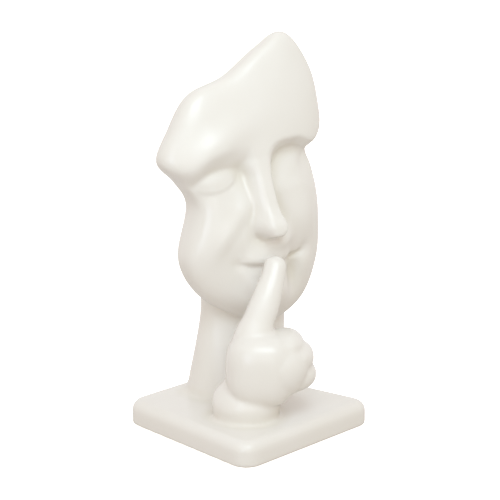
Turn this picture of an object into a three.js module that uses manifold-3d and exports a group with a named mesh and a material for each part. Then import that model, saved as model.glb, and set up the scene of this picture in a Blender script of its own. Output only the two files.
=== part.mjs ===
// Face sculpture: a glazed ceramic figure. A mask-like head with closed eyes stands on a
// neck, and a fist in front of it holds a raised forefinger against the lips.
// One cast piece on a soft-edged slab. Millimetres, +Z up, origin at the centre of the
// underside, the front of the slab toward -Y.

import * as THREE from 'three';
import { mergeVertices } from 'three/addons/utils/BufferGeometryUtils.js';
import Module from 'manifold-3d';

const wasm = await Module();
wasm.setup();

const DEGREE = Math.PI / 180;
const ORIGIN = new THREE.Vector2();

// The slab: its plan is a rounded trapezoid, its profile pairs a share of the plan with a height
const BASE_FRONT_WIDTH = 121;
const BASE_BACK_WIDTH = 97;
const BASE_DEPTH = 118;
const BASE_SQUARENESS = 11;
const BASE_TOP = 16;
const BASE_PROFILE = [
  [0.975, 0],
  [0.995, 1.2],
  [1, 3.5],
  [1, 10],
  [0.988, 13],
  [0.965, 14.7],
  [0.92, 15.5],
  [0.8, 15.8],
  [0.5, BASE_TOP],
];

// Columns are lists of level, half width, half depth, and centre across and back
const NECK_LEVELS = [
  [6, 33.5, 32.5, 18, 24],
  [16, 32.5, 31.5, 18, 24],
  [20, 31.8, 29.5, 18, 23.5],
  [28, 31.5, 27, 18.5, 23],
  [45, 31.5, 22, 20, 21.5],
  [70, 30.5, 17, 22, 20.5],
  [90, 29, 15, 20, 20],
  [110, 24, 13, 16, 18],
];
const NECK_TURN = -14 * DEGREE;
const WRIST_LEVELS = [
  [6, 21, 21, -19, -21],
  [15, 20.8, 20.8, -19, -21],
  [19, 21.2, 21.2, -19, -21],
  [25, 21.2, 21, -19, -21],
  [31, 19.2, 19.1, -18.5, -20.3],
  [38, 16, 15, -17, -21.5],
  [46, 12, 11, -14, -23],
];

// The forefinger: the centre of each section and its half thickness, from the fist to the lips
const FINGER_SECTIONS = [
  [-21.2, -27.4, 50, 13.5],
  [-21.4, -28.2, 61, 13.2],
  [-19.6, -28.4, 69.5, 12],
  [-16.1, -28.3, 77.2, 9.8],
  [-11.3, -27.7, 83.7, 9.4],
  [-5.5, -26.6, 91.9, 8.6],
  [-0.2, -25.4, 100.2, 7.5],
  [3.4, -24.2, 107, 7],
];
const FINGER_CAP_SHARE = 0.25;

// The fist: the back of the hand, the backs of the curled fingers, and their knuckles
const FIST_CENTRE = [-10.5, -28.5, 47];
const HAND_TURN = -47 * DEGREE;
const FIST_TILT = -5 * DEGREE;
const BACK_OF_HAND = { middle: [-2.5, -3, 0.5], halfSize: [21.5, 21.5, 23.5], lean: 6 };
const HAND_FULLNESS = 2.8;
const FINGER_BACKS = { middle: [7.5, -3.5, 0.5], halfSize: [19.5, 20, 18], lean: 24 };
const KNUCKLES = [
  { middle: [12.5, 2, 12], halfSize: [13, 18.5, 10] },
  { middle: [17, 2.5, 4.2], halfSize: [13.8, 18.5, 10.2] },
  { middle: [15, 3, -7], halfSize: [16.5, 18, 10.2] },
];
const KNUCKLE_FULLNESS = 2.2;

// The head: the centre of the face, its turn and lean toward -X, and how deep it is
const HEAD_CENTRE = [14, 12, 135];
const HEAD_TURN = -14 * DEGREE;
const HEAD_LEAN = -6 * DEGREE;
const FACE_DEPTH = 19;
const NAPE_DEPTH = 22;
const FACE_FULLNESS = 2.5;
const NAPE_FULLNESS = 2.5;
const MASK_MIDDLE = [2.5, 4];

// The nose: its line, the depth of the sockets, and where nose, brow and forehead end
const NOSE_LINE = 4.2;
const NOSE_HEIGHT = 13.5;
const NOSE_ROOT = 38;
const NOSE_LENGTH = 39;
const NOSE_FOOT = -14;
const SOCKET_DEPTH = 5.5;
const FAR_SOCKET_DEPTH = 7.5;
const NEAR_BROW_LEVEL = 32.5;
const FAR_BROW_LEVEL = 38;

// Lids: height, centre, half width and half height
const LIDS = {
  near: { height: 1.5, at: [-26.5, 25.5], half: [13, 5.8] },
  far: { height: 0.9, at: [31, 28], half: [15, 9] },
};

// Soft hills of the face: height, centre, half width and half height, and lean in degrees
const FOREHEAD = {
  nearBrow: { height: 3, at: [-30, 50], half: [12, 32], lean: 55 },
};
const CHEEKS = {
  near: { height: 1.4, at: [-27, -5], half: [15, 18] },
  nearCrest: { height: 2.8, at: [-23, -6], half: [6.5, 24], lean: 33 },
  besideNose: { height: 1.2, at: [-11, 3], half: [8, 14] },
  far: { height: 4, at: [33, -6], half: [14, 18] },
};
const NOSE_TIP = {
  nearWing: { height: 2.2, at: [-3, -4], half: [4.5, 4.5] },
  farWing: { height: 2.2, at: [11, -4], half: [4.5, 4.5] },
  ball: { height: 2.2, at: [NOSE_LINE, -4], half: [6, 6.5] },
};
const MOUTH = {
  muzzle: { height: 7, at: [6, -22], half: [13.5, 13] },
  nearMuzzle: { height: 1.8, at: [-12, -18], half: [9, 13] },
  underNose: { height: 3, at: [7, -16], half: [9, 5] },
  nearCorner: { height: -1.2, at: [-19.5, -26], half: [3, 4] },
  farCorner: { height: -2.5, at: [32, -28], half: [4, 5] },
  underLip: { height: -1.6, at: [1, -41], half: [9, 3.2], lean: -28 },
  lowerFace: { height: 6, at: [-3, -46], half: [25, 20] },
  chin: { height: 5, at: [1, -48], half: [12, 13] },
  besideChin: { height: -6, at: [22, -40], half: [6, 14] },
  farJaw: { height: 1.5, at: [34, -38], half: [9, 11] },
};

// The lips, measured up from the line between them, and that line
const LIPS = {
  upper: { height: 1.2, at: [3, 4], half: [13, 3] },
  lower: { height: 1.1, at: [1, -5], half: [13, 4] },
};
const MOUTH_LEVEL = -30.8;
const MOUTH_LOWEST = 12;
const SMILE = { near: 0.0045, far: 0.0028 };
const PARTING = { width: 1.8, nearDepth: 0.8, farDepth: 2.8, middle: 6.7, reach: 27 };

// The rim of the mask, seen from the front: across and up from the centre of the face
const RIM = {
  peak: [39.5, 109],
  farCrown: [56, 87],
  farTemple: [61, 62],
  farBrow: [60, 45],
  farNotch: [48.5, 35],
  farEyeSide: [52, 20],
  farCheek: [54, -8],
  farJaw: [49, -42],
  farChin: [33, -65],
  chin: [3, -74],
  nearChin: [-20, -62],
  nearJaw: [-40, -44],
  nearCheek: [-48.5, -22],
  nearNotch: [-38.5, 13],
  nearUnderBrow: [-45.5, 28],
  nearBrow: [-57, 43],
  nearTemple: [-47, 61],
  nearCrown: [-31.5, 80],
  dip: [-4, 88],
  rise: [22, 102.5],
};

// How finely the surfaces are divided: around, and from end to end
const HEAD_STEPS = [72, 44];
const FACE_STEP_SHARE = 0.72;
const FACE_STEP_CROWDING = 1.3;
const BASE_STEPS = 48;
const NECK_STEPS = [28, 11];
const WRIST_STEPS = [24, 8];
const FIST_STEPS = [26, 14];
const KNUCKLE_STEPS = [14, 8];
const FINGER_STEPS = [18, 16];

// A rising step from 0 to 1 with soft ends
function ease(value) {
  const t = Math.min(1, Math.max(0, value));
  return t * t * (3 - 2 * t);
}

// The height of a list of soft round hills at a point
function hills(list, x, z) {
  return Object.values(list).reduce((sum, { height, at, half, lean = 0 }) => {
    const place = new THREE.Vector2(x - at[0], z - at[1]).rotateAround(ORIGIN, lean * DEGREE);
    return sum + height * Math.exp(-((place.x / half[0]) ** 2) - (place.y / half[1]) ** 2);
  }, 0);
}

// A sine or cosine pressed outward, so that a circle turns into a rounded square
function press(value, fullness) {
  return Math.abs(value) < 1e-6 ? 0 : Math.sign(value) * Math.abs(value) ** (2 / fullness);
}

// A value read between the rows of a list whose first column rises
function between(rows, at, column) {
  const last = rows.length - 1;
  if (at <= rows[0][0]) return rows[0][column];
  if (at >= rows[last][0]) return rows[last][column];
  const upper = rows.findIndex((row) => row[0] >= at);
  const [low, high] = [rows[upper - 1], rows[upper]];
  const share = (at - low[0]) / (high[0] - low[0]);
  return low[column] + (high[column] - low[column]) * share;
}

// Turns a geometry into a solid with its faces outward
function solidOf(geometry) {
  geometry.deleteAttribute('normal');
  geometry.deleteAttribute('uv');
  const merged = mergeVertices(geometry, 1e-4);
  const vertProperties = merged.getAttribute('position').array;
  const index = merged.getIndex().array;
  const corners = [0, 1, 2].map(() => new THREE.Vector3());
  const kept = [];
  let volume = 0;
  for (let i = 0; i < index.length; i += 3) {
    const triangle = [index[i], index[i + 1], index[i + 2]];
    if (new Set(triangle).size < 3) continue;
    corners.forEach((corner, j) => corner.fromArray(vertProperties, triangle[j] * 3));
    volume += corners[0].dot(corners[1].cross(corners[2]));
    kept.push(...triangle);
  }
  if (volume < 0) kept.reverse();
  const triVerts = Uint32Array.from(kept);
  return new wasm.Manifold(new wasm.Mesh({ numProp: 3, vertProperties, triVerts }));
}

// A ball whose points are all moved: place gives a point from its turn around the ball,
// from 0 to 1, and its way down from the top, from 0 to 1
function moulded([around, rings], place) {
  const geometry = new THREE.SphereGeometry(1, around, rings);
  const { position, uv } = geometry.attributes;
  for (let i = 0; i < position.count; i += 1) {
    const point = place(uv.getX(i), 1 - uv.getY(i));
    position.setXYZ(i, point.x, point.y, point.z);
  }
  return solidOf(geometry);
}

// The slab
function slab() {
  const profile = BASE_PROFILE.map(([share, height]) => new THREE.Vector2(share, height));
  profile.unshift(new THREE.Vector2(0, 0));
  profile.push(new THREE.Vector2(0, BASE_TOP));
  const geometry = new THREE.LatheGeometry(profile, BASE_STEPS);
  const { position } = geometry.attributes;
  for (let i = 0; i < position.count; i += 1) {
    const share = Math.hypot(position.getX(i), position.getZ(i));
    const angle = Math.atan2(position.getZ(i), position.getX(i));
    const back = press(Math.sin(angle), BASE_SQUARENESS) * 0.5;
    const width = BASE_FRONT_WIDTH + (BASE_BACK_WIDTH - BASE_FRONT_WIDTH) * (back + 0.5);
    const x = press(Math.cos(angle), BASE_SQUARENESS) * 0.5 * width * share;
    position.setXYZ(i, x, back * BASE_DEPTH * share, position.getY(i));
  }
  return solidOf(geometry);
}

// An upright column through a list of levels
function column(levels, steps, turn) {
  const bottom = levels[0][0];
  const top = levels[levels.length - 1][0];
  return moulded(steps, (around, down) => {
    const tilt = Math.cos(down * Math.PI);
    const height = bottom + (top - bottom) * (0.5 + 0.5 * tilt);
    const share = Math.min(1, 2.2 * Math.sin(down * Math.PI));
    const angle = around * 2 * Math.PI;
    const point = new THREE.Vector3(
      Math.cos(angle) * share * between(levels, height, 1),
      Math.sin(angle) * share * between(levels, height, 2),
      height,
    );
    point.applyAxisAngle(new THREE.Vector3(0, 0, 1), turn);
    point.x += between(levels, height, 3);
    point.y += between(levels, height, 4);
    return point;
  });
}

// A rounded block of the fist. Its middle lies along the knuckles, behind and above the
// fist's, and it leans down toward the fingers by an angle in degrees
function pad({ middle, halfSize, lean = 0 }, fullness, steps) {
  const [halfWidth, halfDepth, halfHeight] = halfSize;
  const placing = new THREE.Matrix4().makeTranslation(...FIST_CENTRE);
  placing.multiply(new THREE.Matrix4().makeRotationZ(HAND_TURN));
  placing.multiply(new THREE.Matrix4().makeRotationY(FIST_TILT));
  placing.multiply(new THREE.Matrix4().makeTranslation(...middle));
  placing.multiply(new THREE.Matrix4().makeRotationY(lean * DEGREE));
  return moulded(steps, (around, down) => {
    const angle = around * 2 * Math.PI;
    const across = press(Math.sin(down * Math.PI), fullness);
    return new THREE.Vector3(
      press(Math.cos(angle), fullness) * across * halfWidth,
      press(Math.sin(angle), fullness) * across * halfDepth,
      press(Math.cos(down * Math.PI), fullness) * halfHeight,
    ).applyMatrix4(placing);
  });
}

// The raised forefinger, with a half ball at each end
function forefinger() {
  const centres = FINGER_SECTIONS.map(([x, y, z]) => new THREE.Vector3(x, y, z));
  const spine = new THREE.CatmullRomCurve3(centres);
  const radii = FINGER_SECTIONS.map((section, i) => [i / (centres.length - 1), section[3]]);
  return moulded(FINGER_STEPS, (around, down) => {
    const fromTip = (down - FINGER_CAP_SHARE) / (1 - 2 * FINGER_CAP_SHARE);
    const along = THREE.MathUtils.clamp(1 - fromTip, 0, 1);
    const beyond = Math.max(1 - fromTip - 1, 0 - (1 - fromTip), 0);
    const capAngle = (beyond / FINGER_CAP_SHARE) * (1 - 2 * FINGER_CAP_SHARE) * 90 * DEGREE;
    const radius = between(radii, along, 1);
    const forward = spine.getTangent(along);
    const across = new THREE.Vector3(1, 0, 0).cross(forward).normalize();
    const over = forward.clone().cross(across);
    const angle = around * 2 * Math.PI;
    const end = fromTip < 0.5 ? 1 : -1;
    return spine.getPoint(along)
      .addScaledVector(forward, end * radius * Math.sin(capAngle))
      .addScaledVector(across, Math.cos(angle) * radius * Math.cos(capAngle))
      .addScaledVector(over, Math.sin(angle) * radius * Math.cos(capAngle));
  });
}

// The level where the hollow under the brow begins: a little higher over the far eye
function browFoot(x) {
  const near = NEAR_BROW_LEVEL - 7 * ease((-x - 26) / 18);
  const far = FAR_BROW_LEVEL - 5.5 * ease((x - 33) / 16);
  return x < NOSE_LINE ? near : far;
}

// The smaller of two values, rounded where they meet
function softMin(a, b, rounding) {
  const share = THREE.MathUtils.clamp(0.5 + (b - a) / (2 * rounding), 0, 1);
  return b + (a - b) * share - rounding * share * (1 - share);
}

// A closed lid: a soft almond
function lid({ height, at, half }, x, z) {
  const across = (x - at[0]) / half[0];
  const up = (z - at[1]) / half[1];
  return height * Math.max(0, 1 - across ** 2 - up ** 2) ** 1.2;
}

// Forehead and nose stand forward, and eyes and cheeks lie behind. Down the side of the
// nose, and down under the brow, the way down runs from 0 to 1
function upperFace(x, z) {
  const aside = Math.abs(x - NOSE_LINE);
  const isNear = x < NOSE_LINE;
  const farShare = ease((x + 5) / 16);
  const foot = browFoot(x);
  const browDrop = 15 - 6.5 * farShare;
  const noseTop = (isNear ? 1.3 : 4.2) + 1.6 * Math.exp(-(((z + 3) / 7) ** 2));
  const noseSide = isNear ? 8.1 + 2.6 * ease((z - 26) / 8) : 4.8 + 4.5 * ease((z - 22) / 12);
  const flank = (aside - noseTop) / noseSide;
  const under = (foot + browDrop - z) / browDrop;
  const wayDown = THREE.MathUtils.clamp(softMin(flank, under, 0.3 + 1.25 * farShare), 0, 1);
  const step = wayDown ** 2 * (2 - wayDown);

  const fall = THREE.MathUtils.clamp((NOSE_ROOT - z) / NOSE_LENGTH, 0, 1);
  const noseFoot = NOSE_FOOT + 2.2 * ease((aside - 3) / 5) + 2.5 * ease((x - 5) / 8);
  const bridge = (1 + NOSE_HEIGHT * fall ** 1.3) * ease((z - noseFoot) / 5);
  const nose = bridge * ease((50 - z) / 16) * ease((18 - aside) / 9);
  const depth = THREE.MathUtils.lerp(SOCKET_DEPTH, FAR_SOCKET_DEPTH, farShare);
  const hollow = depth * (1 - ease((foot - z - 2) / 24));
  const lids = lid(LIDS.near, x, z) + lid(LIDS.far, x, z);
  const ahead = nose + hills(FOREHEAD, x, z);
  const behind = lids + hills(CHEEKS, x, z) - hollow;
  return ahead * (1 - step) + behind * step + hills(NOSE_TIP, x, z) * ease((z - noseFoot) / 4);
}

// Mouth and chin. The line between the lips smiles
function lowerFace(x, z) {
  const smile = x < MOUTH_LOWEST ? SMILE.near : SMILE.far;
  const above = z - MOUTH_LEVEL - smile * (x - MOUTH_LOWEST) ** 2;
  const { width, nearDepth, farDepth, middle, reach } = PARTING;
  const depth = THREE.MathUtils.lerp(nearDepth, farDepth, ease((x - 8) / 18));
  const parting = depth * Math.exp(-((above / width) ** 2)) * ease((reach - Math.abs(x - middle)) / 5);
  return hills(MOUTH, x, z) + hills(LIPS, x, above) - parting;
}

// The head: the rim drawn together toward the front and the back, with the face on its front
function head() {
  const rimPoints = Object.values(RIM).map(([x, z]) => new THREE.Vector3(x, 0, z));
  const rim = new THREE.CatmullRomCurve3(rimPoints, true, 'centripetal');
  rim.arcLengthDivisions = 600;
  const [middleX, middleZ] = MASK_MIDDLE;
  const placing = new THREE.Matrix4().makeRotationZ(HEAD_TURN);
  placing.multiply(new THREE.Matrix4().makeRotationY(HEAD_LEAN));
  placing.setPosition(...HEAD_CENTRE);
  return moulded(HEAD_STEPS, (around, down) => {
    const isFront = down < FACE_STEP_SHARE;
    const ahead = (down / FACE_STEP_SHARE) ** FACE_STEP_CROWDING;
    const behind = (down - FACE_STEP_SHARE) / (1 - FACE_STEP_SHARE);
    const angle = 90 * DEGREE * (isFront ? ahead : 1 + behind);
    const power = 2 / (isFront ? FACE_FULLNESS : NAPE_FULLNESS);
    const share = Math.sin(angle) ** power;
    const edge = rim.getPointAt(THREE.MathUtils.euclideanModulo(around, 1));
    const x = middleX + (edge.x - middleX) * share;
    const z = middleZ + (edge.z - middleZ) * share;
    const bulge = Math.abs(Math.cos(angle)) ** power;
    const relief = upperFace(x, z) + lowerFace(x, z);
    const front = -FACE_DEPTH * bulge - relief * (1 - share ** 9);
    const y = isFront ? front : NAPE_DEPTH * bulge;
    return new THREE.Vector3(x, y, z).applyMatrix4(placing);
  });
}

// The whole figure
function figure() {
  const pieces = [
    column(NECK_LEVELS, NECK_STEPS, NECK_TURN),
    column(WRIST_LEVELS, WRIST_STEPS, 0),
    pad(BACK_OF_HAND, HAND_FULLNESS, FIST_STEPS),
    pad(FINGER_BACKS, KNUCKLE_FULLNESS, FIST_STEPS),
    forefinger(),
    head(),
    ...KNUCKLES.map((knuckle) => pad(knuckle, KNUCKLE_FULLNESS, KNUCKLE_STEPS)),
  ];
  const whole = pieces.reduce((sum, piece) => sum.add(piece), slab());
  const { vertProperties, triVerts } = whole.getMesh();
  const geometry = new THREE.BufferGeometry();
  geometry.setAttribute('position', new THREE.BufferAttribute(vertProperties, 3));
  geometry.setIndex(new THREE.BufferAttribute(triVerts, 1));
  geometry.computeVertexNormals();
  return geometry;
}

const glaze = new THREE.MeshStandardMaterial({ color: 0xf4f0e9, roughness: 0.28, metalness: 0 });
const sculpture = new THREE.Mesh(figure(), glaze);
sculpture.name = 'face_sculpture';

const group = new THREE.Group();
group.add(sculpture);

export default group;
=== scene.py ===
"""Face sculpture: a glazed ceramic figure of a face with closed eyes and a fist whose
raised forefinger stands before its lips.

The figure is formed like a cast one: the slab, neck, wrist, fist, forefinger and head are
shaped one by one, run together into one skin, and the slip then pools in the hollows
where they meet. Forming is in millimetres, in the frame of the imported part.
"""

import math

import bmesh
import bpy
import numpy as np
from bpy.props import FloatProperty, FloatVectorProperty, IntProperty, PointerProperty
from mathutils import Matrix, Vector


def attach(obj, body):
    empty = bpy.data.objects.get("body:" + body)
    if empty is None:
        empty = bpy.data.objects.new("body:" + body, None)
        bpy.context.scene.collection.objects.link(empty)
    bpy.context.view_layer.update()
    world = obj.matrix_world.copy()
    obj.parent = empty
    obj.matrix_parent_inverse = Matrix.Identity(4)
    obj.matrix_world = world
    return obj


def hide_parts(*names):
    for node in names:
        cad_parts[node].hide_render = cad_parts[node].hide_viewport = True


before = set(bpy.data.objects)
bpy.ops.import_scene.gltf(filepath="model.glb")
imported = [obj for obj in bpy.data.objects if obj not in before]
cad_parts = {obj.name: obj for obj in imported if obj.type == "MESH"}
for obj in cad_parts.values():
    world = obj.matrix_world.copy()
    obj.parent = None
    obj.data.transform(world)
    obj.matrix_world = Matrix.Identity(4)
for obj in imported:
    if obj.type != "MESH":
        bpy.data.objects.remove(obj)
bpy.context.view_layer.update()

bl_info = {
    "name": "Face sculpture",
    "version": (1, 0, 0),
    "blender": (4, 5, 0),
    "location": "View3D > Sidebar > Sculpture",
    "description": "A glazed ceramic face with a finger before its lips, and a studio around it",
    "category": "Add Mesh",
}

NODE = "face_sculpture"
MM = 0.001

# The slab
BASE_BACK_SHARE = 0.8
BASE_CORNER_RADIUS = 13
BASE_TOP_ROUND = 6.5
BASE_FOOT_ROUND = 1.4

# Columns are lists of level, half width, half depth, and centre across and back. The edge
# factor says how soon, from each end, a column reaches its full width
COLUMN_EDGE = 2.2
NECK_LEVELS = [
    [6, 33.5, 32.5, 18, 24],
    [16, 32.5, 31.5, 18, 24],
    [20, 31.8, 29.5, 18, 23.5],
    [28, 31.5, 27, 18.5, 23],
    [45, 31.5, 22, 20, 21.5],
    [70, 30.5, 17, 22, 20.5],
    [90, 29, 15, 20, 20],
    [110, 24, 13, 16, 18],
]
NECK_TURN = math.radians(-14)
WRIST_LEVELS = [
    [6, 20, 20, -19, -21],
    [15, 20, 20, -19, -21],
    [19, 20.6, 20.6, -19, -21],
    [25, 21.4, 21.2, -19, -21],
    [31, 19.6, 19.5, -18.5, -20.3],
    [38, 16, 15, -17, -21.5],
    [46, 12, 11, -14, -23],
]

# The forefinger: the centre of each section and its half thickness, from the fist up
# to the tip, which stands a few millimetres in front of the lips
FINGER_SECTIONS = [
    [-17.6, -24.1, 48.9, 13.5],
    [-17.8, -24.9, 59.9, 13.2],
    [-16, -25.1, 68.4, 12],
    [-13.2, -25.6, 76.3, 9.8],
    [-9.5, -26, 83.1, 9.4],
    [-4.8, -25.9, 91.7, 8.6],
    [-0.2, -25.4, 100.2, 7.5],
    [3.4, -24.2, 107, 7],
]
FINGER_CAP_SHARE = 0.25
FINGER_FULLNESS = 2.5

# The fist: the back of the hand and the three curled fingers stacked at its outer side
FIST_CENTRE = (-10.5, -28.5, 47)
HAND_TURN = math.radians(-47)
FIST_TILT = math.radians(-5)
FIST_MIDDLE = (-2.5, -3, 0.5)
FIST_HALF_SIZE = (21.5, 21.5, 23.5)
FIST_FULLNESS = 2.8
FIST_LEAN = 6
FINGER_BACKS = {"middle": (7.5, -3.5, 0.5), "half_size": (19.5, 20, 18), "lean": 24}
KNUCKLES = [
    {"middle": (12.5, 2, 12), "half_size": (13, 18.5, 10)},
    {"middle": (17, 2.5, 4.2), "half_size": (13.8, 18.5, 10.2)},
    {"middle": (15, 3, -7), "half_size": (16.5, 18, 10.2)},
]
KNUCKLE_FULLNESS = 2.2

# The head: the centre of the face, its turn and lean toward -X, and how deep it is
HEAD_CENTRE = (14, 12, 135)
HEAD_TURN = math.radians(-14)
HEAD_LEAN = math.radians(-6)
FACE_DEPTH = 19
NAPE_DEPTH = 22
FACE_FULLNESS = 2.5
NEAR_FULLNESS = 3.3
NAPE_FULLNESS = 2.5
MASK_MIDDLE = (2.5, 4)
RELIEF_EDGE_POWER = 9

# The stretch of the rim, in shares of it, where the mask is fuller: it begins, is full, is
# still full, and ends
NEAR_STRETCH = (0.33, 0.43, 0.62, 0.74)

# How far along the rim its notches are evened out, as a share of it, and how close to the
# rim they stay
RIM_STEPS = 400
CALM_STRETCH = 0.07
CALM_POWER = 4

# How freely the slip runs at a level of the figure, in millimetres: less up the hand, and
# not on the face
SLIP_LEVELS = [18, 30, 88, 96]
SLIP_SHARES = [0.35, 0.3, 0.25, 0]

# Rounds over which the note of the hollows is evened out, and the depth of a point below its
# neighbours, in metres, at which it lies in a crease
GLAZE_RUN = 40
GLAZE_DEEP = 0.00005

# The glaze: the size of its clouds and their share of the darker colour, the hollowness at
# which painted shade begins in the creases and its greatest share there, its orange peel, and the
# dry foot
GLAZE_CLOUD_MM = 30
CLOUD_SHARE = 0.3
CREASE_SHADE_START = 0.55
CREASE_SHADE_SHARE = 0.8
ORANGE_PEEL_MM = 2.5
ORANGE_PEEL_DEPTH_MM = 0.25
ORANGE_PEEL_STRENGTH = 0.12
FOOT_WIPED_MM = 0.7
BODY_ROUGHNESS = 0.85

# The rim of the mask, seen from the front: across and up from the centre of the face
RIM = {
    "peak": (39.5, 108.8),
    "far crown": (55.85, 87),
    "far temple": (60.7, 62),
    "far brow": (60, 45),
    "far notch": (48.5, 35),
    "far eye side": (52, 20),
    "far cheek": (54, -8),
    "far jaw": (49, -42),
    "far chin": (33, -65),
    "chin": (3, -74),
    "near chin": (-20, -62),
    "near jaw": (-40, -44),
    "near cheek": (-48.5, -22),
    "near notch": (-37.4, 13),
    "near under brow": (-45.5, 28),
    "near brow": (-57, 43),
    "near temple": (-47, 61),
    "near crown": (-31.5, 80),
    "dip": (-4, 88),
    "rise": (22, 102.5),
}


# The face is seen from the front, across and up from its centre. Pairs are for the near
# side and the far side of the nose.
# The nose: the middle of its ridge and how far that leans over, its root and its length, its
# rise at the root and how it gains toward the tip, and the level of its foot
NOSE_LINE = 4.2
NOSE_LEAN = 2.2
NOSE_ROOT = 38
NOSE_LENGTH = 39
NOSE_AT_ROOT = 1
NOSE_GAIN = 13.5
NOSE_GAIN_POWER = 1.3
NOSE_FOOT = -14
NOSE_FOOT_RISE_ASIDE = 2.2
NOSE_FOOT_RISE_FAR = 2.5
RIDGE_HALF_WIDTH = (0.8, 4.2)
RIDGE_WIDENING = 1.6
NOSE_SIDE = (8.1, 4.8)
NOSE_SIDE_AT_EYE = (2.6, 4.5)

# The sockets: the level where the hollow under the brow begins, how far that falls toward
# the side, the height of the slope under the brow, the depth of the hollow, and how early
# and how softly the slope bends into it
BROW_FOOT = (32.5, 38)
BROW_FOOT_FALL = (7, 5.5)
BROW_DROP = (15, 8.5)
SOCKET_DEPTH = (5.5, 9)
SOCKET_BEND = (0.65, 0.4)
SOCKET_ROUND = (0.3, 1.55)
FOREHEAD_SWEEP = 4

# The lids: centre across and up, half width and half height
NEAR_LID = (-25, 26.5, 14.5, 6.3)
NEAR_LID_RISE = 2.1
LID_TILT = 0.14
LID_POWER = 0.9
LASH_RISE = 0.3
FAR_LID = (31, 28, 15, 9)
FAR_LID_RISE = 0.9

# The mouth: the level of its line and where that is lowest, how fast the line rises to each
# side of it, and the depth of the line on the near side and how much it gains on the far one
MOUTH_LEVEL = -30.8
MOUTH_LOWEST = 12
SMILE = (0.0045, 0.0028)
PARTING_DEPTH = 0.8
PARTING_GAIN = 2
PARTING_HALF_HEIGHT = 1.8
MOUTH_MIDDLE = 6.7

# Hills on the face: centre across and up, half width, half height, rise, and lean in degrees
BROW_RIDGE = [[-26, 47, 9.5, 26, 3.8, 62]]
CHEEKS = [
    [-27, -5, 15, 18, 1.2, 0],
    [-22.5, -3.5, 5.5, 20, 2.4, 42],
    [-9, 5, 6.5, 10, 1.9, 0],
    [-8, 28, 6, 7, -1.6, 0],
    [-15, -11, 6, 9, 1.6, 42],
    [33, -6, 14, 18, 4, 0],
]
NOSE_BALL = [
    [-5, -4, 4.5, 4.5, 2.2, 0],
    [8.5, -4, 4.5, 4.5, 2.2, 0],
    [1.6, -4.5, 5.5, 6.5, 2.4, 0],
]
NOSTRILS = [
    [-1, -10, 2.2, 1.8, -0.3, 0],
    [9, -9.5, 2.5, 2, -0.6, 0],
]
MUZZLE = [
    [6, -22, 13.5, 13, 7, 0],
    [-12, -18, 9, 13, 1.2, 0],
    [7, -16, 9, 5, 3, 0],
    [15, -13, 7, 7, 2.5, 0],
]
OVER_LIP = [[-9, -26, 8.5, 9, 3.2, 0]]
MOUTH_CORNERS = [
    [-19.5, -26, 3, 4, -1.2, 0],
    [32, -28, 4, 5, -2.5, 0],
]
CHIN = [
    [-3, -53, 26, 20, 6, 0],
    [1, -51, 12, 14, 5, 0],
    [34, -38, 9, 11, 1.5, 0],
    [1, -41, 9, 3.2, -1.6, -28],
    [22, -40, 6, 14, -6, 0],
    [-12.5, -41, 3.8, 12, 2.6, -22],
]

# The lips are hills too, and their levels count from the line of the mouth
LIPS = [
    [3, 4, 13, 3, 1.2, 0],
    [1, -5, 13, 4, 1.1, 0],
]


def ease(value):
    """A rising step from 0 to 1 with soft ends."""
    t = np.clip(value, 0, 1)
    return t * t * (3 - 2 * t)


def rising(value, start, end):
    """From 0 to 1 with soft ends, as the value goes from start to end."""
    return ease((value - start) / (end - start))


def between(pair, share):
    """From the first to the second of a pair by a share."""
    return pair[0] + (pair[1] - pair[0]) * share


def swell(value, centre, half_width):
    """A soft swelling of height 1 around a value."""
    return np.exp(-(((value - centre) / half_width) ** 2))


def hill(x, z, centre_x, centre_z, half_width, half_height, lean=0):
    """A soft round hill of height 1 around a point, leaned over by an angle in degrees."""
    turn = math.radians(lean)
    across = (x - centre_x) * math.cos(turn) - (z - centre_z) * math.sin(turn)
    up = (x - centre_x) * math.sin(turn) + (z - centre_z) * math.cos(turn)
    return np.exp(-((across / half_width) ** 2) - (up / half_height) ** 2)


def hills(table, x, z):
    """The sum of a table's hills."""
    return sum(rise * hill(x, z, *spot, lean) for *spot, rise, lean in table)


def press(value, fullness):
    """A sine or cosine pressed outward, so that a circle turns into a rounded square."""
    return np.sign(value) * np.abs(value) ** (2 / fullness)


def soft_min(a, b, rounding):
    """The smaller of two values, rounded where they meet."""
    share = np.clip(0.5 + (b - a) / (2 * rounding), 0, 1)
    return b + (a - b) * share - rounding * share * (1 - share)


def smooth_between(knots, values, at):
    """Values read from a smooth curve through the values at rising knots."""
    knots, values = np.asarray(knots, float), np.asarray(values, float)
    slopes = np.gradient(values, knots)
    at = np.clip(at, knots[0], knots[-1])
    upper = np.clip(np.searchsorted(knots, at), 1, len(knots) - 1)
    lower = upper - 1
    gap = knots[upper] - knots[lower]
    t = (at - knots[lower]) / gap
    level = values[lower] * (1 + 2 * t) * (1 - t) ** 2 + values[upper] * t * t * (3 - 2 * t)
    return level + gap * t * (1 - t) * (slopes[lower] * (1 - t) - slopes[upper] * t)


def unit(vectors):
    """Each vector at length 1."""
    return vectors / np.linalg.norm(vectors, axis=1, keepdims=True)


def moved(points, placing):
    """Points turned and shifted by a matrix."""
    matrix = np.array(placing)
    return points @ matrix[:3, :3].T + matrix[:3, 3]


def moulded(around_steps, rings, place):
    """A ball whose points are all moved: place gives the points from their turns around
    the ball, from 0 to 1, and their ways down from the top, from 0 to 1."""
    form = bmesh.new()
    bmesh.ops.create_uvsphere(form, u_segments=around_steps, v_segments=rings, radius=1)
    ball = np.array([vert.co for vert in form.verts])
    around = np.arctan2(ball[:, 1], ball[:, 0]) / math.tau % 1.0
    down = np.arccos(np.clip(ball[:, 2], -1, 1)) / math.pi
    for vert, point in zip(form.verts, place(around, down)):
        vert.co = point
    bmesh.ops.recalc_face_normals(form, faces=form.faces)
    return form


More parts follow.
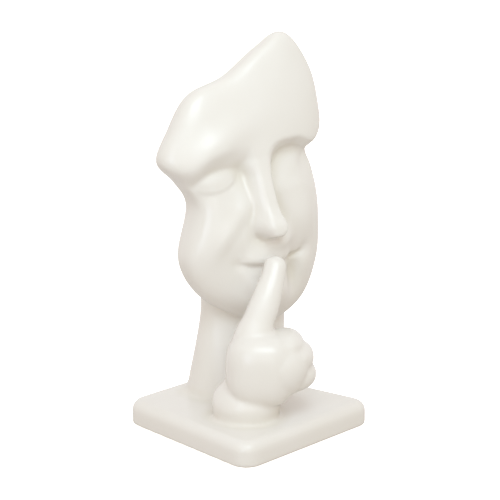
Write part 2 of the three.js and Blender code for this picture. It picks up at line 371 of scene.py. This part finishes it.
def form_slab(sizes):
    """The slab: a block narrowed toward the back, with its corners and edges rounded."""
    form = bmesh.new()
    bmesh.ops.create_cube(form, size=1)
    width, depth, top = sizes.base_width / MM, sizes.base_depth / MM, sizes.base_height / MM
    for vert in form.verts:
        share = 1 if vert.co.y < 0 else BASE_BACK_SHARE
        vert.co = Vector((vert.co.x * width * share, vert.co.y * depth, (vert.co.z + 0.5) * top))
    steps = {"affect": "EDGES", "profile": 0.5, "material": -1, "offset_type": "OFFSET"}
    upright = [e for e in form.edges if abs(e.verts[0].co.z - e.verts[1].co.z) > top / 2]
    bmesh.ops.bevel(form, geom=upright, offset=BASE_CORNER_RADIUS, segments=12, **steps)
    upper = [e for e in form.edges if min(v.co.z for v in e.verts) > top - 0.01]
    bmesh.ops.bevel(form, geom=upper, offset=BASE_TOP_ROUND, segments=8, **steps)
    lower = [e for e in form.edges if max(v.co.z for v in e.verts) < 0.01]
    bmesh.ops.bevel(form, geom=lower, offset=BASE_FOOT_ROUND, segments=4, **steps)
    bmesh.ops.recalc_face_normals(form, faces=form.faces)
    return form


def form_column(levels, turn):
    """An upright column through a list of levels."""
    heights, *columns = zip(*levels)

    def place(around, down):
        height = heights[0] + (heights[-1] - heights[0]) * (0.5 + 0.5 * np.cos(down * math.pi))
        half_width, half_depth, across, back = (
            smooth_between(heights, column, height) for column in columns
        )
        share = np.minimum(1, COLUMN_EDGE * np.sin(down * math.pi))
        angle = around * math.tau
        outline = np.stack([
            np.cos(angle) * half_width * share,
            np.sin(angle) * half_depth * share,
            np.zeros_like(angle),
        ], axis=1)
        outline = moved(outline, Matrix.Rotation(turn, 4, "Z"))
        return outline + np.stack([across, back, height], axis=1)

    return moulded(96, 90, place)


def form_pad(middle, half_size, fullness, lean=0):
    """A rounded block of the fist. Its middle lies along the knuckles, behind and above
    the fist's, and it leans down toward the fingers by an angle in degrees."""
    placing = Matrix.Translation(FIST_CENTRE) @ Matrix.Rotation(HAND_TURN, 4, "Z")
    placing @= Matrix.Rotation(FIST_TILT, 4, "Y") @ Matrix.Translation(middle)
    placing @= Matrix.Rotation(math.radians(lean), 4, "Y")

    def place(around, down):
        angle = around * math.tau
        across = press(np.sin(down * math.pi), fullness)
        block = np.stack([
            press(np.cos(angle), fullness) * across,
            press(np.sin(angle), fullness) * across,
            press(np.cos(down * math.pi), fullness),
        ], axis=1)
        return moved(block * half_size, placing)

    return moulded(96, 64, place)


def form_forefinger():
    """The raised forefinger, with a half ball at each end."""
    knots = range(len(FINGER_SECTIONS))
    across, back, level, thickness = zip(*FINGER_SECTIONS)

    def centre(along):
        at = np.clip(along, 0, 1) * knots[-1]
        return np.stack([smooth_between(knots, line, at) for line in (across, back, level)], axis=1)

    def place(around, down):
        shaft = 1 - 2 * FINGER_CAP_SHARE
        from_tip = (down - FINGER_CAP_SHARE) / shaft
        along = np.clip(1 - from_tip, 0, 1)
        radius = smooth_between(knots, thickness, along * knots[-1])
        beyond = np.maximum(np.maximum(-from_tip, from_tip - 1), 0)
        cap = beyond * shaft / FINGER_CAP_SHARE * math.pi / 2
        cap = np.where(from_tip < 0.5, cap, -cap)
        forward = unit(centre(along + 0.02) - centre(along - 0.02))
        side = unit(np.cross([1.0, 0.0, 0.0], forward))
        over = np.cross(forward, side)
        flat = side * math.cos(HAND_TURN) + over * math.sin(HAND_TURN)
        edge = over * math.cos(HAND_TURN) - side * math.sin(HAND_TURN)
        angle = (around * math.tau)[:, None]
        outline = flat * press(np.cos(angle), FINGER_FULLNESS)
        outline = outline + edge * press(np.sin(angle), FINGER_FULLNESS)
        reach = forward * np.sin(cap)[:, None] + outline * np.cos(cap)[:, None]
        return centre(along) + reach * radius[:, None]

    return moulded(72, 110, place)


def brow_foot(x):
    """The level where the hollow under the brow begins."""
    near = BROW_FOOT[0] - BROW_FOOT_FALL[0] * rising(x, -26, -44)
    far = BROW_FOOT[1] - BROW_FOOT_FALL[1] * rising(x, 33, 49)
    return np.where(x < NOSE_LINE, near, far)


def mouth_line(x):
    """The level of the line between the lips, which smiles."""
    return MOUTH_LEVEL + np.where(x < MOUTH_LOWEST, *SMILE) * (x - MOUTH_LOWEST) ** 2


def lids(x, z):
    """The closed lids: a soft almond with a fuller lower edge, and a fainter far one."""
    centre_x, centre_z, half_width, half_height = NEAR_LID
    across = (x - centre_x) / half_width
    up = (z - centre_z - LID_TILT * (x - centre_x)) / half_height
    reach = np.sqrt(across**2 + up**2)
    lash = LASH_RISE * swell(reach, 0.82, 0.16) * rising(up, 0, -0.6)
    near = NEAR_LID_RISE * (np.maximum(0, 1 - reach**2) ** LID_POWER + lash)
    centre_x, centre_z, half_width, half_height = FAR_LID
    across, up = (x - centre_x) / half_width, (z - centre_z) / half_height
    return near + FAR_LID_RISE * np.maximum(0, 1 - across**2 - up**2) ** 2


def relief(x, z):
    """How far the face stands out at each point, beyond the plain curve of the mask. The
    numbers are levels and places across the face, between which a form comes and goes."""
    fall = np.clip((NOSE_ROOT - z) / NOSE_LENGTH, 0, 1)
    nose_line = NOSE_LINE - NOSE_LEAN * fall
    aside = np.abs(x - nose_line)
    is_near = x < nose_line
    is_far = rising(x, -5, 11)

    # Forehead and nose stand forward, and eyes and cheeks lie behind. Down the side of
    # the nose, and down under the brow, the way down runs from 0 to 1
    foot = brow_foot(x)
    brow_drop = between(BROW_DROP, is_far)
    ridge = np.where(is_near, *RIDGE_HALF_WIDTH) + RIDGE_WIDENING * swell(z, -3, 7)
    near_side = NOSE_SIDE[0] + NOSE_SIDE_AT_EYE[0] * rising(z, 26, 34)
    far_side = NOSE_SIDE[1] + NOSE_SIDE_AT_EYE[1] * rising(z, 22, 34)
    flank = (aside - ridge) / np.where(is_near, near_side, far_side)
    under = (foot + brow_drop - z) / brow_drop
    way_down = np.clip(soft_min(flank, under, between(SOCKET_ROUND, is_far)), 0, 1)
    bend = between(SOCKET_BEND, is_far)
    step = np.where(way_down < bend, way_down**2 / (2 * bend), way_down - bend / 2)
    step = step / (1 - bend / 2)

    nose_foot = NOSE_FOOT + NOSE_FOOT_RISE_ASIDE * rising(aside, 3, 8)
    nose_foot = nose_foot + NOSE_FOOT_RISE_FAR * rising(x, 5, 13)
    nose = (NOSE_AT_ROOT + NOSE_GAIN * fall**NOSE_GAIN_POWER) * rising(z - nose_foot, 0, 5)
    nose = nose * rising(z, 50, 34) * rising(aside, 18, 9)
    ahead = nose + hills(BROW_RIDGE, x, z) - FOREHEAD_SWEEP * rising(z, 45, 110)
    hollow = -between(SOCKET_DEPTH, is_far) * (1 - rising(foot - z, 2, 26))
    behind = hollow + lids(x, z) + hills(CHEEKS, x, z)
    planes = ahead * (1 - step) + behind * step
    ball = hills(NOSE_BALL, x, z) * rising(z - nose_foot, 0, 4) + hills(NOSTRILS, x, z)

    # Mouth and chin
    over_line = z - mouth_line(x)
    muzzle = hills(MUZZLE, x, z) + hills(OVER_LIP, x, z) * rising(over_line, -1, 1.5)
    parting = PARTING_DEPTH + PARTING_GAIN * rising(x, 8, 26)
    parting = parting * swell(over_line, 0, PARTING_HALF_HEIGHT)
    parting = parting * rising(np.abs(x - MOUTH_MIDDLE), 27, 22)
    mouth = muzzle + hills(LIPS, x, over_line) + hills(MOUTH_CORNERS, x, z) - parting

    return planes + ball + mouth + hills(CHIN, x, z)


def rim_curve():
    """The rim as a smooth closed curve: its way around, from 0 to 1, and the points there."""
    points = np.array(list(RIM.values()), float)
    gaps = np.sqrt(np.linalg.norm(np.roll(points, -1, axis=0) - points, axis=1))
    count = len(points)
    line = []
    for i in range(count):
        before, start, end, after = (points[(i + k) % count] for k in (-1, 0, 1, 2))
        gap_before, gap, gap_after = gaps[i - 1], gaps[i], gaps[(i + 1) % count]
        slope_in = (start - before) / gap_before - (end - before) / (gap_before + gap)
        slope_out = (end - start) / gap - (after - start) / (gap + gap_after)
        leave = gap * (slope_in + (end - start) / gap)
        arrive = gap * (slope_out + (after - end) / gap_after)
        for t in np.linspace(0, 1, 24, endpoint=False):
            ends = start * (1 + 2 * t) * (1 - t) ** 2 + end * t * t * (3 - 2 * t)
            line.append(ends + t * (1 - t) * (leave * (1 - t) - arrive * t))
    line = np.array(line + [line[0]])
    lengths = np.linalg.norm(np.diff(line, axis=0), axis=1)
    way = np.concatenate([[0], np.cumsum(lengths)]) / lengths.sum()
    return way, line


def calmed(way, line):
    """The rim without its notches: each point the average of a stretch of the rim."""
    steps = np.linspace(0, 1, RIM_STEPS, endpoint=False)
    offsets = np.linspace(-CALM_STRETCH, CALM_STRETCH, 61)
    weights = np.cos(offsets / CALM_STRETCH * math.pi / 2) ** 2
    around = (steps[:, None] + offsets) % 1.0
    calm = np.stack([
        np.average(np.interp(around, way, line[:, axis]), axis=1, weights=weights)
        for axis in (0, 1)
    ], axis=1)
    return np.append(steps, 1.0), np.vstack([calm, calm[:1]])


def form_head():
    """The head: the rim drawn together toward the front and the back, with the face on
    its front. Away from the rim, the notches in it die away."""
    way, line = rim_curve()
    calm_way, calm_line = calmed(way, line)
    placing = Matrix.Translation(HEAD_CENTRE) @ Matrix.Rotation(HEAD_TURN, 4, "Z")
    placing @= Matrix.Rotation(HEAD_LEAN, 4, "Y")

    def place(around, down):
        is_front = down < 0.5
        begins, full, still_full, ends = NEAR_STRETCH
        nearness = rising(around, begins, full) * rising(around, ends, still_full)
        face_fullness = FACE_FULLNESS + (NEAR_FULLNESS - FACE_FULLNESS) * nearness
        fullness = np.where(is_front, face_fullness, NAPE_FULLNESS)
        share = press(np.sin(down * math.pi), fullness)
        at_rim = share**CALM_POWER
        spot = []
        for axis in (0, 1):
            rim = np.interp(around, way, line[:, axis])
            calm = np.interp(around, calm_way, calm_line[:, axis])
            reach = calm + (rim - calm) * at_rim - MASK_MIDDLE[axis]
            spot.append(MASK_MIDDLE[axis] + reach * share)
        x, z = spot
        bulge = press(np.abs(np.cos(down * math.pi)), fullness)
        front = -FACE_DEPTH * bulge - relief(x, z) * (1 - share**RELIEF_EDGE_POWER)
        y = np.where(is_front, front, NAPE_DEPTH * bulge)
        return moved(np.stack([x, y, z], axis=1), placing)

    return moulded(360, 300, place)


class Skin:
    """The points of the finished skin, and the means to run something over them."""

    def __init__(self, mesh):
        self.mesh = mesh
        self.count = len(mesh.vertices)
        ends = np.empty(len(mesh.edges) * 2, int)
        mesh.edges.foreach_get("vertices", ends)
        self.one, self.other = ends[0::2], ends[1::2]
        self.degree = np.bincount(self.one, minlength=self.count)
        self.degree += np.bincount(self.other, minlength=self.count)
        self.points = self.read("co")
        self.normals = self.read("normal")

    def read(self, name):
        values = np.empty(self.count * 3)
        self.mesh.vertices.foreach_get(name, values)
        return values.reshape(-1, 3)

    def averaged(self, values):
        """The average of each point's neighbours."""
        total = np.bincount(self.one, values[self.other], self.count)
        return (total + np.bincount(self.other, values[self.one], self.count)) / self.degree

    def pull(self):
        """From each point to the middle of its neighbours."""
        middles = [self.averaged(self.points[:, axis]) for axis in range(3)]
        return np.stack(middles, axis=1) - self.points

    def pool(self, share, rounds):
        """Lets slip pool in the hollows: points that lie below their neighbours rise."""
        for _ in range(rounds):
            pull = self.pull()
            rise = np.einsum("ij,ij->i", pull, self.normals)
            self.points += pull * np.where(rise > 0, share, 0)[:, None]
        self.mesh.vertices.foreach_set("co", self.points.ravel())
        self.mesh.update()
        self.normals = self.read("normal")

    def note_hollows(self, rounds, deep):
        """Notes how hollow each point lies, from 0 on a ridge to 1 in a crease."""
        hollow = np.einsum("ij,ij->i", self.pull(), self.normals)
        for _ in range(rounds):
            hollow = self.averaged(hollow)
        note = self.mesh.attributes.new("hollow", "FLOAT", "POINT")
        note.data.foreach_set("value", ease(0.5 + hollow / (2 * deep)))


def cast_figure(sizes):
    """Runs the pieces together into one skin and finishes it."""
    forms = [
        form_slab(sizes),
        form_column(NECK_LEVELS, NECK_TURN),
        form_column(WRIST_LEVELS, 0),
        form_pad(FIST_MIDDLE, FIST_HALF_SIZE, FIST_FULLNESS, FIST_LEAN),
        form_forefinger(),
        form_head(),
    ]
    forms += [form_pad(**pad, fullness=KNUCKLE_FULLNESS) for pad in [FINGER_BACKS, *KNUCKLES]]
    whole = bmesh.new()
    part = bpy.data.meshes.new("part")
    for form in forms:
        form.to_mesh(part)
        whole.from_mesh(part)
        form.free()
    whole.transform(Matrix.Scale(MM, 4))
    rough = bpy.data.meshes.new("rough")
    whole.to_mesh(rough)
    whole.free()
    draft = bpy.data.objects.new("draft", rough)
    bpy.context.collection.objects.link(draft)
    joined = draft.modifiers.new("joined", "REMESH")
    joined.mode = "VOXEL"
    joined.voxel_size = sizes.skin_grain
    sponge = draft.modifiers.new("sponge", "SMOOTH")
    sponge.factor = 0.5
    sponge.iterations = 3
    evaluated = draft.evaluated_get(bpy.context.evaluated_depsgraph_get())
    mesh = bpy.data.meshes.new_from_object(evaluated)
    mesh.name = "face_sculpture_body"
    bpy.data.objects.remove(draft)
    bpy.data.meshes.remove(rough)
    bpy.data.meshes.remove(part)
    skin = Skin(mesh)
    freely = np.interp(skin.points[:, 2] / MM, SLIP_LEVELS, SLIP_SHARES)
    skin.pool(freely, sizes.pooling)
    skin.note_hollows(GLAZE_RUN, GLAZE_DEEP)
    mesh.shade_smooth()
    return mesh


def linear(code):
    """An sRGB hex colour as linear red, green, blue and alpha."""
    channels = [int(code[i:i + 2], 16) / 255 for i in (1, 3, 5)]
    return [c / 12.92 if c <= 0.04045 else ((c + 0.055) / 1.055) ** 2.4 for c in channels] + [1.0]


def rgba(colour):
    """A colour of the panel with its alpha."""
    return (*colour, 1.0)


def add_node(tree, kind, settings=None, inputs=None):
    """Adds a node with its settings, and sets or links its inputs."""
    node = tree.nodes.new(kind)
    for name, value in (settings or {}).items():
        setattr(node, name, value)
    for name, value in (inputs or {}).items():
        if isinstance(value, bpy.types.NodeSocket):
            tree.links.new(value, node.inputs[name])
        else:
            node.inputs[name].default_value = value
    return node


def glazed_ceramic(look):
    """White glazed earthenware, slip-cast, dipped in glaze and fired."""
    material = bpy.data.materials.new("white_glaze")
    material.use_nodes = True
    tree = material.node_tree
    tree.nodes.clear()
    place = add_node(tree, "ShaderNodeTexCoord").outputs["Object"]

    # The glaze is white on the ridges, and the creases are darker and warmer with painted shade;
    # its colour also varies a little at random over the broad faces
    clouds = add_node(tree, "ShaderNodeTexNoise", inputs={
        "Vector": place, "Scale": 1 / (GLAZE_CLOUD_MM * MM), "Detail": 2.0,
    })
    cloudiness = add_node(tree, "ShaderNodeMapRange", inputs={
        "Value": clouds.outputs["Fac"], "To Max": CLOUD_SHARE,
    })
    thin_glaze = add_node(tree, "ShaderNodeMix", {"data_type": "RGBA"}, {
        "Factor": cloudiness.outputs["Result"],
        "A": rgba(look.glaze_colour),
        "B": rgba(look.cloud_and_crease_shade_colour),
    })
    # Painted shade: by its note of hollowness, each crease is mixed toward the darker, warmer
    # colour
    hollow = add_node(tree, "ShaderNodeAttribute", {"attribute_name": "hollow"})
    thickness = add_node(tree, "ShaderNodeMapRange", inputs={
        "Value": hollow.outputs["Fac"], "From Min": CREASE_SHADE_START, "To Max": CREASE_SHADE_SHARE,
    })
    glaze = add_node(tree, "ShaderNodeMix", {"data_type": "RGBA"}, {
        "Factor": thickness.outputs["Result"],
        "A": thin_glaze.outputs["Result"],
        "B": rgba(look.cloud_and_crease_shade_colour),
    })

    # The foot is wiped clean before firing, and shows the dry body
    height = add_node(tree, "ShaderNodeSeparateXYZ", inputs={"Vector": place}).outputs["Z"]
    wiped = add_node(tree, "ShaderNodeMapRange", inputs={
        "Value": height, "From Min": FOOT_WIPED_MM * MM, "From Max": FOOT_WIPED_MM * MM * 0.6,
    })
    colour = add_node(tree, "ShaderNodeMix", {"data_type": "RGBA"}, {
        "Factor": wiped.outputs["Result"],
        "A": glaze.outputs["Result"],
        "B": rgba(look.body_colour),
    })
    roughness = add_node(tree, "ShaderNodeMapRange", inputs={
        "Value": wiped.outputs["Result"], "To Min": look.glaze_roughness, "To Max": BODY_ROUGHNESS,
    })

    # Fired glaze has a faint orange peel
    peel = add_node(tree, "ShaderNodeTexNoise", inputs={
        "Vector": place, "Scale": 1 / (ORANGE_PEEL_MM * MM), "Detail": 1.0,
    })
    bump = add_node(tree, "ShaderNodeBump", inputs={
        "Height": peel.outputs["Fac"],
        "Strength": ORANGE_PEEL_STRENGTH,
        "Distance": ORANGE_PEEL_DEPTH_MM * MM,
    })
    shader = add_node(tree, "ShaderNodeBsdfPrincipled", inputs={
        "Base Color": colour.outputs["Result"],
        "Roughness": roughness.outputs["Result"],
        "IOR": 1.5,
        "Normal": bump.outputs["Normal"],
    })
    add_node(tree, "ShaderNodeOutputMaterial", inputs={"Surface": shader.outputs["BSDF"]})
    return material


class SculptureSizes(bpy.types.PropertyGroup):
    """Sizes of the figure, and how its skin is made."""

    base_width: FloatProperty(
        name="Base width", description="Width of the slab along its front",
        default=0.1202, min=0.08, max=0.2, unit="LENGTH",
    )
    base_depth: FloatProperty(
        name="Base depth", description="Depth of the slab from front to back",
        default=0.1179, min=0.08, max=0.2, unit="LENGTH",
    )
    base_height: FloatProperty(
        name="Base height", description="Thickness of the slab",
        default=0.0155, min=0.005, max=0.04, unit="LENGTH",
    )
    skin_grain: FloatProperty(
        name="Skin grain", description="Spacing of the points of the finished skin",
        default=0.0011, min=0.0008, max=0.005, unit="LENGTH",
    )
    pooling: IntProperty(
        name="Pooling", description="How long the slip runs into the hollows",
        default=12, min=0, max=400,
    )


class SculptureLook(bpy.types.PropertyGroup):
    """Colours of the figure and of the studio."""

    glaze_colour: FloatVectorProperty(
        name="Glaze colour", description="Colour of the white glaze",
        default=linear("#e9e6e2")[:3], min=0, max=1, subtype="COLOR",
    )
    # The darker, warmer colour of the glaze clouds, also painted as shade into the creases
    cloud_and_crease_shade_colour: FloatVectorProperty(
        name="Cloud and crease shade colour", description="Colour of the glaze where it lies thick",
        default=linear("#e0dbd0")[:3], min=0, max=1, subtype="COLOR",
    )
    body_colour: FloatVectorProperty(
        name="Body colour", description="Colour of the fired body where it is bare",
        default=linear("#d8cdbc")[:3], min=0, max=1, subtype="COLOR",
    )
    glaze_roughness: FloatProperty(
        name="Glaze roughness", description="How much the glaze blurs a reflection",
        default=0.27, min=0, max=1, subtype="FACTOR",
    )
    top_light_colour: FloatVectorProperty(
        name="Top light colour", description="Colour of the light tent above",
        default=linear("#d7d0c9")[:3], min=0, max=1, subtype="COLOR",
    )
    front_light_colour: FloatVectorProperty(
        name="Front light colour", description="Colour of the light tent toward the camera",
        default=linear("#c2b49c")[:3], min=0, max=1, subtype="COLOR",
    )
    back_light_colour: FloatVectorProperty(
        name="Back light colour", description="Colour of the light tent behind the figure",
        default=linear("#f4f1f2")[:3], min=0, max=1, subtype="COLOR",
    )
    ground_light_colour: FloatVectorProperty(
        name="Ground light colour", description="Colour of the light from the ground",
        default=linear("#cdc9c5")[:3], min=0, max=1, subtype="COLOR",
    )
    floor_colour: FloatVectorProperty(
        name="Floor colour", description="Colour of the studio floor",
        default=linear("#ffffff")[:3], min=0, max=1, subtype="COLOR",
    )


class SCULPTURE_OT_cast_figure(bpy.types.Operator):
    """Form the figure as one cast piece and glaze it"""

    bl_idname = "sculpture.cast_figure"
    bl_label = "Cast the figure"

    def execute(self, context):
        sizes = context.scene.sculpture_sizes
        look = context.scene.sculpture_look
        mesh = cast_figure(sizes)
        figure = bpy.data.objects.new("face_sculpture_body", mesh)
        context.collection.objects.link(figure)
        figure.data.materials.append(glazed_ceramic(look))
        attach(figure, "root")
        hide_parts(NODE)
        return {"FINISHED"}


# The size of the floor, the light tent, and the level that the lights face
FLOOR_SIZE = 24.0
FLOOR_GLOW = 0.8
DOME_STRENGTH = 1.15
SIDE_FADE = (-0.8, 0.8)
TOP_FADE = (0.2, 0.9)
GROUND_FADE = (-0.1, -0.5)
LIGHTS_LEVEL = 0.13
LIGHTS = [
    ["key", -33, 46, 0.7, (0.32, 0.32), 1.9, "#dcf3ff"],
    ["strip", -33, 10, 1.3, (0.25, 0.6), 0.7, "#ecf8ff"],
    ["side", -68, 12, 1.3, (0.5, 0.6), 2.7, "#d4e4ff"],
    ["fill", -56, 24, 1.3, (1.0, 1.0), 1.35, "#fbffff"],
]

# The camera, as far as the photograph shows it: its turn around the figure and its height
# above the level, its distance, the point that it looks at, and its lens
CAMERA_TURN = math.radians(-47.1)
CAMERA_RISE = math.radians(12.9)
CAMERA_DISTANCE = 0.936
CAMERA_ASIDE = 0.0047
CAMERA_LEVEL = 0.1145
CAMERA_LENS_MM = 108


def toward(turn, rise):
    """The direction at a turn around the figure and a rise above the level."""
    return Vector((
        math.sin(turn) * math.cos(rise), -math.cos(turn) * math.cos(rise), math.sin(rise),
    ))


def add_light(name, turn, rise, distance, size, power, colour):
    """A soft light that faces the figure, placed around it as the camera is. Its size is
    its width and its height."""
    lamp = bpy.data.lights.new(name, "AREA")
    lamp.shape = "RECTANGLE"
    lamp.size, lamp.size_y = size
    lamp.energy = power
    lamp.color = linear(colour)[:3]
    light = bpy.data.objects.new(name, lamp)
    away = toward(math.radians(turn), math.radians(rise))
    light.location = Vector((0, 0, LIGHTS_LEVEL)) + away * distance
    light.rotation_euler = away.to_track_quat("Z", "Y").to_euler()
    bpy.context.collection.objects.link(light)
    return light


def studio_dome(look):
    """A light tent: pale above and behind the figure, warmer toward the camera, with some
    light from the white ground below."""
    world = bpy.data.worlds.new("studio")
    world.use_nodes = True
    tree = world.node_tree
    tree.nodes.clear()
    place = add_node(tree, "ShaderNodeTexCoord")
    parts = add_node(tree, "ShaderNodeSeparateXYZ", inputs={"Vector": place.outputs["Generated"]})
    ahead = add_node(tree, "ShaderNodeVectorMath", {"operation": "DOT_PRODUCT"})
    tree.links.new(place.outputs["Generated"], ahead.inputs[0])
    ahead.inputs[1].default_value = toward(CAMERA_TURN, 0)

    height = parts.outputs["Z"]
    toward_front = add_node(tree, "ShaderNodeMapRange", {"interpolation_type": "SMOOTHSTEP"}, {
        "Value": ahead.outputs["Value"], "From Min": SIDE_FADE[0], "From Max": SIDE_FADE[1],
    })
    sides = add_node(tree, "ShaderNodeMix", {"data_type": "RGBA"}, {
        "Factor": toward_front.outputs["Result"],
        "A": rgba(look.back_light_colour),
        "B": rgba(look.front_light_colour),
    })
    toward_top = add_node(tree, "ShaderNodeMapRange", {"interpolation_type": "SMOOTHSTEP"}, {
        "Value": height, "From Min": TOP_FADE[0], "From Max": TOP_FADE[1],
    })
    above = add_node(tree, "ShaderNodeMix", {"data_type": "RGBA"}, {
        "Factor": toward_top.outputs["Result"],
        "A": sides.outputs["Result"],
        "B": rgba(look.top_light_colour),
    })
    toward_ground = add_node(tree, "ShaderNodeMapRange", {"interpolation_type": "SMOOTHSTEP"}, {
        "Value": height, "From Min": GROUND_FADE[0], "From Max": GROUND_FADE[1],
    })
    whole = add_node(tree, "ShaderNodeMix", {"data_type": "RGBA"}, {
        "Factor": toward_ground.outputs["Result"],
        "A": above.outputs["Result"],
        "B": rgba(look.ground_light_colour),
    })
    background = add_node(tree, "ShaderNodeBackground", inputs={
        "Color": whole.outputs["Result"], "Strength": DOME_STRENGTH,
    })
    add_node(tree, "ShaderNodeOutputWorld", inputs={"Surface": background.outputs["Background"]})
    return world


class SCULPTURE_OT_set_stage(bpy.types.Operator):
    """Lay the pale floor and set the lights and the camera"""

    bl_idname = "sculpture.set_stage"
    bl_label = "Set the stage"

    def execute(self, context):
        look = context.scene.sculpture_look
        form = bmesh.new()
        bmesh.ops.create_grid(form, x_segments=1, y_segments=1, size=FLOOR_SIZE / 2)
        mesh = bpy.data.meshes.new("floor")
        form.to_mesh(mesh)
        form.free()
        floor = bpy.data.objects.new("floor", mesh)
        context.collection.objects.link(floor)
        paper = bpy.data.materials.new("paper")
        paper.use_nodes = True
        shader = paper.node_tree.nodes["Principled BSDF"]
        shader.inputs["Base Color"].default_value = look.floor_colour[:] + (1.0,)
        shader.inputs["Roughness"].default_value = 0.9
        shader.inputs["Emission Color"].default_value = (1, 1, 1, 1)
        shader.inputs["Emission Strength"].default_value = FLOOR_GLOW
        floor.data.materials.append(paper)
        floor.visible_diffuse = False
        floor.visible_glossy = False

        context.scene.world = studio_dome(look)
        context.scene.view_settings.view_transform = "Standard"

        for light in LIGHTS:
            add_light(*light)

        camera_data = bpy.data.cameras.new("camera")
        camera_data.lens = CAMERA_LENS_MM
        camera_data.clip_start = 0.01
        camera = bpy.data.objects.new("camera", camera_data)
        back = toward(CAMERA_TURN, CAMERA_RISE)
        right = Vector((math.cos(CAMERA_TURN), math.sin(CAMERA_TURN), 0))
        target = right * CAMERA_ASIDE + Vector((0, 0, CAMERA_LEVEL))
        camera.location = target + back * CAMERA_DISTANCE
        camera.rotation_euler = back.to_track_quat("Z", "Y").to_euler()
        context.collection.objects.link(camera)
        context.scene.camera = camera
        return {"FINISHED"}


class SCULPTURE_PT_panel(bpy.types.Panel):
    """Sizes, colours and steps of the sculpture"""

    bl_label = "Face sculpture"
    bl_idname = "SCULPTURE_PT_panel"
    bl_space_type = "VIEW_3D"
    bl_region_type = "UI"
    bl_category = "Sculpture"

    def draw(self, context):
        for group in (context.scene.sculpture_sizes, context.scene.sculpture_look):
            for name in group.__annotations__:
                self.layout.prop(group, name)
        self.layout.operator(SCULPTURE_OT_cast_figure.bl_idname)
        self.layout.operator(SCULPTURE_OT_set_stage.bl_idname)


CLASSES = (
    SculptureSizes,
    SculptureLook,
    SCULPTURE_OT_cast_figure,
    SCULPTURE_OT_set_stage,
    SCULPTURE_PT_panel,
)


def register():
    for each in CLASSES:
        bpy.utils.register_class(each)
    bpy.types.Scene.sculpture_sizes = PointerProperty(type=SculptureSizes)
    bpy.types.Scene.sculpture_look = PointerProperty(type=SculptureLook)


def unregister():
    del bpy.types.Scene.sculpture_look
    del bpy.types.Scene.sculpture_sizes
    for each in reversed(CLASSES):
        bpy.utils.unregister_class(each)


def main():
    register()
    bpy.ops.sculpture.cast_figure()
    bpy.ops.sculpture.set_stage()


if __name__ == "__main__":
    main()
